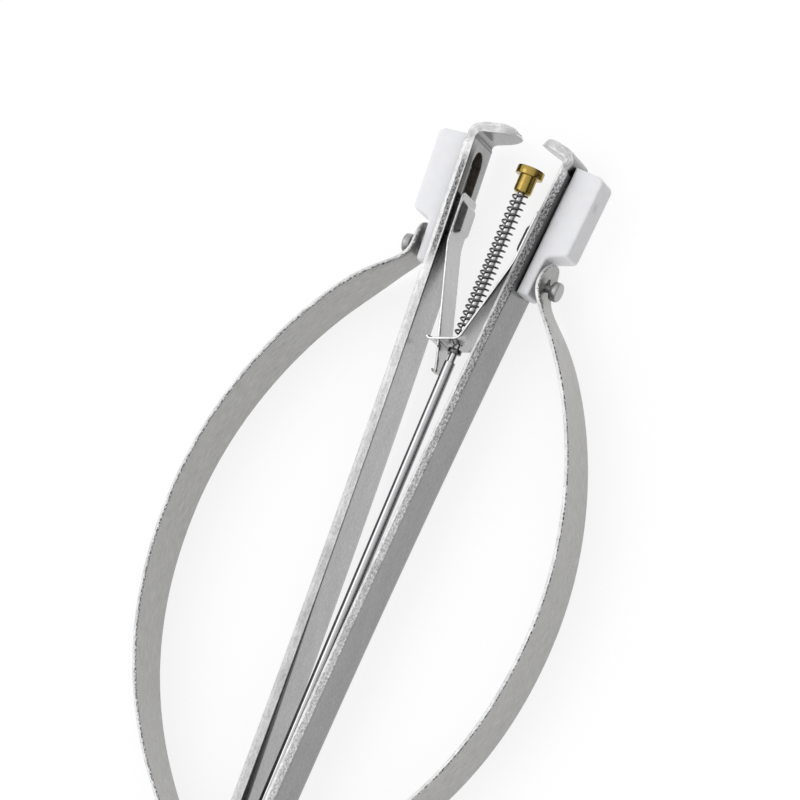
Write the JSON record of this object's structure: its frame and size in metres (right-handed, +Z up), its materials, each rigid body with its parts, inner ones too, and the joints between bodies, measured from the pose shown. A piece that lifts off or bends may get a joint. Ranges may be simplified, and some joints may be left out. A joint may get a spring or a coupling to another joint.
{
  "type": "watch hand remover",
  "caption": "Squeeze-action watch hand puller: slotted hooked jaws between sprung bows, with sliding plastic feet and a sprung brass plunger between the jaws",
  "frame": {"origin": "under the middle of the tool, on the surface it lies on", "axes": "+Y from the riveted handle end to the hooked jaws, +X to the right across the bows, +Z up across the width of the strips"},
  "size_m": [0.0384, 0.0864, 0.0064],
  "materials": {
    "arm_steel": "satin ground steel",
    "bow_steel": "satin rolled spring steel",
    "leaf_steel": "polished spring steel strip",
    "bright_steel": "bright drawn steel",
    "spring_wire": "dark spring wire",
    "rivet_steel": "turned steel",
    "brass": "turned bright brass",
    "white_nylon": "translucent white nylon"
  },
  "bodies": {
    "head": {"head_spacer": "arm_steel", "front_head_rivet": "rivet_steel", "rear_head_rivet": "rivet_steel", "guide_tube": "bright_steel", "left_bow_tail": "bow_steel", "right_bow_tail": "bow_steel"},
    "yoke": {"right_leaf": "leaf_steel", "left_leaf": "leaf_steel"},
    "plunger": {"plunger_rod": "bright_steel", "plunger_tip": "brass", "stop_ring": "spring_wire", "plunger_spring": "spring_wire"},
    "right_arm": {"right_jaw_arm": "arm_steel"},
    "right_lower_bow": {"right_bow_lower": "bow_steel"},
    "right_upper_bow": {"right_bow_upper": "bow_steel"},
    "right_shoe": {"right_foot": "white_nylon", "right_bow_rivet": "rivet_steel"},
    "left_arm": {"left_jaw_arm": "arm_steel"},
    "left_lower_bow": {"left_bow_lower": "bow_steel"},
    "left_upper_bow": {"left_bow_upper": "bow_steel"},
    "left_shoe": {"left_foot": "white_nylon", "left_bow_rivet": "rivet_steel"}
  },
  "joints": [
    {"name": "right_bow_squeeze", "type": "hinge", "parent": "head", "child": "right_lower_bow", "pos_m": [0.00198, -0.03364, 0.0032], "axis": [0, 0, 1], "range_deg": [0, 9.18], "stiffness_Nm_per_rad": 1.1},
    {"name": "right_bow_flex", "type": "hinge", "parent": "right_lower_bow", "child": "right_upper_bow", "pos_m": [0.019, 0.0003, 0.0032], "axis": [0, 0, -1], "range_deg": [0, 19.32]},
    {"name": "right_arm_flex", "type": "hinge", "parent": "head", "child": "right_arm", "pos_m": [0.0012, -0.03845, 0.0032], "axis": [0, 0, 1], "range_deg": [0, 0.35]},
    {"name": "right_foot_slide", "type": "slide", "parent": "right_arm", "child": "right_shoe", "axis": [0.0688, 0.9976, 0], "range_m": [0, 0.0042]},
    {"name": "left_bow_squeeze", "type": "hinge", "parent": "head", "child": "left_lower_bow", "pos_m": [-0.00198, -0.03364, 0.0032], "axis": [0, 0, -1], "range_deg": [0, 9.18]},
    {"name": "left_bow_flex", "type": "hinge", "parent": "left_lower_bow", "child": "left_upper_bow", "pos_m": [-0.019, 0.0003, 0.0032], "axis": [0, 0, 1], "range_deg": [0, 19.32]},
    {"name": "left_arm_flex", "type": "hinge", "parent": "head", "child": "left_arm", "pos_m": [-0.0012, -0.03845, 0.0032], "axis": [0, 0, -1], "range_deg": [0, 0.35]},
    {"name": "left_foot_slide", "type": "slide", "parent": "left_arm", "child": "left_shoe", "axis": [-0.0688, 0.9976, 0], "range_m": [0, 0.0042]},
    {"name": "yoke_slide", "type": "slide", "parent": "head", "child": "yoke", "axis": [0, 1, 0], "range_m": [0, 0.0042]},
    {"name": "plunger_slide", "type": "slide", "parent": "yoke", "child": "plunger", "axis": [0.0092, -1, 0], "range_m": [0, 0.0025], "deforming": ["plunger_spring"]}
  ],
  "couplings": [
    {"joint": "right_bow_flex", "follows": "right_bow_squeeze", "ratio": 2.1025},
    {"joint": "right_arm_flex", "follows": "right_bow_squeeze", "ratio": 0.0381},
    {"joint": "right_foot_slide", "follows": "right_bow_squeeze", "m_per_rad": 0.0262},
    {"joint": "left_bow_squeeze", "follows": "right_bow_squeeze", "ratio": 1},
    {"joint": "left_bow_flex", "follows": "right_bow_squeeze", "ratio": 2.1025},
    {"joint": "left_arm_flex", "follows": "right_bow_squeeze", "ratio": 0.0381},
    {"joint": "left_foot_slide", "follows": "right_bow_squeeze", "m_per_rad": 0.0262},
    {"joint": "yoke_slide", "follows": "right_bow_squeeze", "m_per_rad": 0.0262},
    {"joint": "plunger_slide", "follows": "right_bow_squeeze", "m_per_rad": 0.0156}
  ]
}
